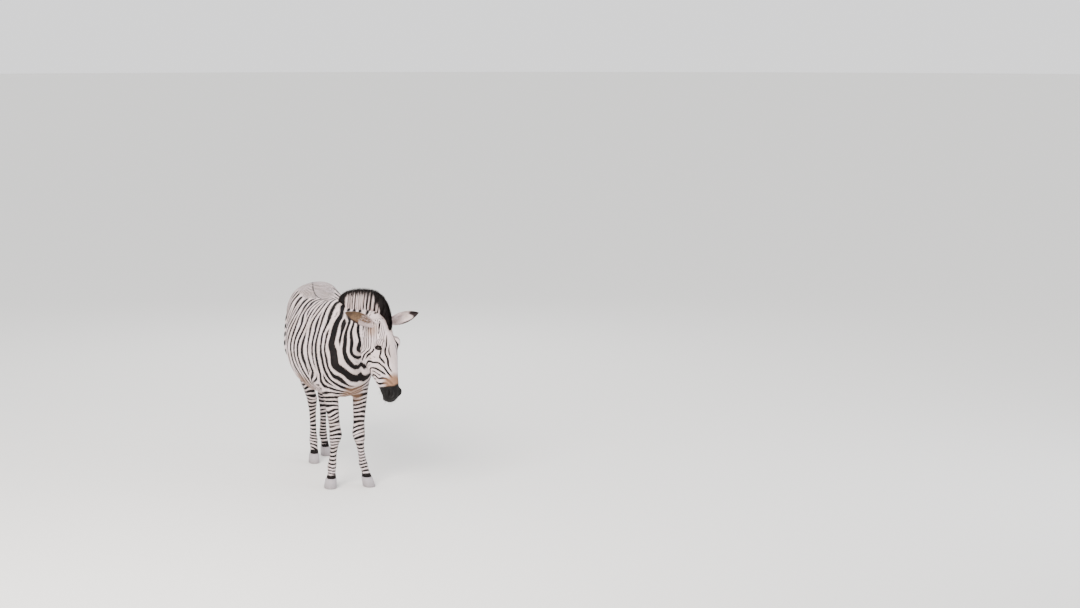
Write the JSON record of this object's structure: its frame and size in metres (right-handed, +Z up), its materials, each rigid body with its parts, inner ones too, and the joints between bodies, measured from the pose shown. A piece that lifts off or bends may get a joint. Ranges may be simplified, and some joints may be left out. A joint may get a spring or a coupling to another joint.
{
  "type": "zebra",
  "caption": "Life-size standing mountain zebra with lowered neck turned to its left, hanging head, erect mane, ears held out, striped coat and tufted tail.",
  "frame": {"origin": "on the floor, in the middle of the model's bounding box", "axes": "+Z up, the animal faces -Y, its left side towards +X"},
  "size_m": [0.6772, 1.8582, 1.477],
  "materials": {
    "coat": "short close hair, black stripes on a warm white ground",
    "long_hair": "long coarse hair of mane, forelock and tail, black with white bands",
    "ear": "thin skin with short hair, long pale hair inside",
    "muzzle_skin": "bare dark skin with fine pores",
    "horn": "dull pale horn with fine growth rings",
    "eye": "polished dark glass"
  },
  "bodies": {
    "root": {"head": "coat", "neck": "coat", "trunk": "coat", "tail": "coat", "foreleg_left": "coat", "foreleg_right": "coat", "hindleg_left": "coat", "hindleg_right": "coat", "fore_hoof_left": "horn", "fore_hoof_right": "horn", "hind_hoof_left": "horn", "hind_hoof_right": "horn", "ear_left": "ear", "ear_right": "ear", "eye_left": "eye", "eye_right": "eye", "mane": "long_hair", "forelock": "long_hair", "tail_tuft": "long_hair"}
  },
  "joints": []
}
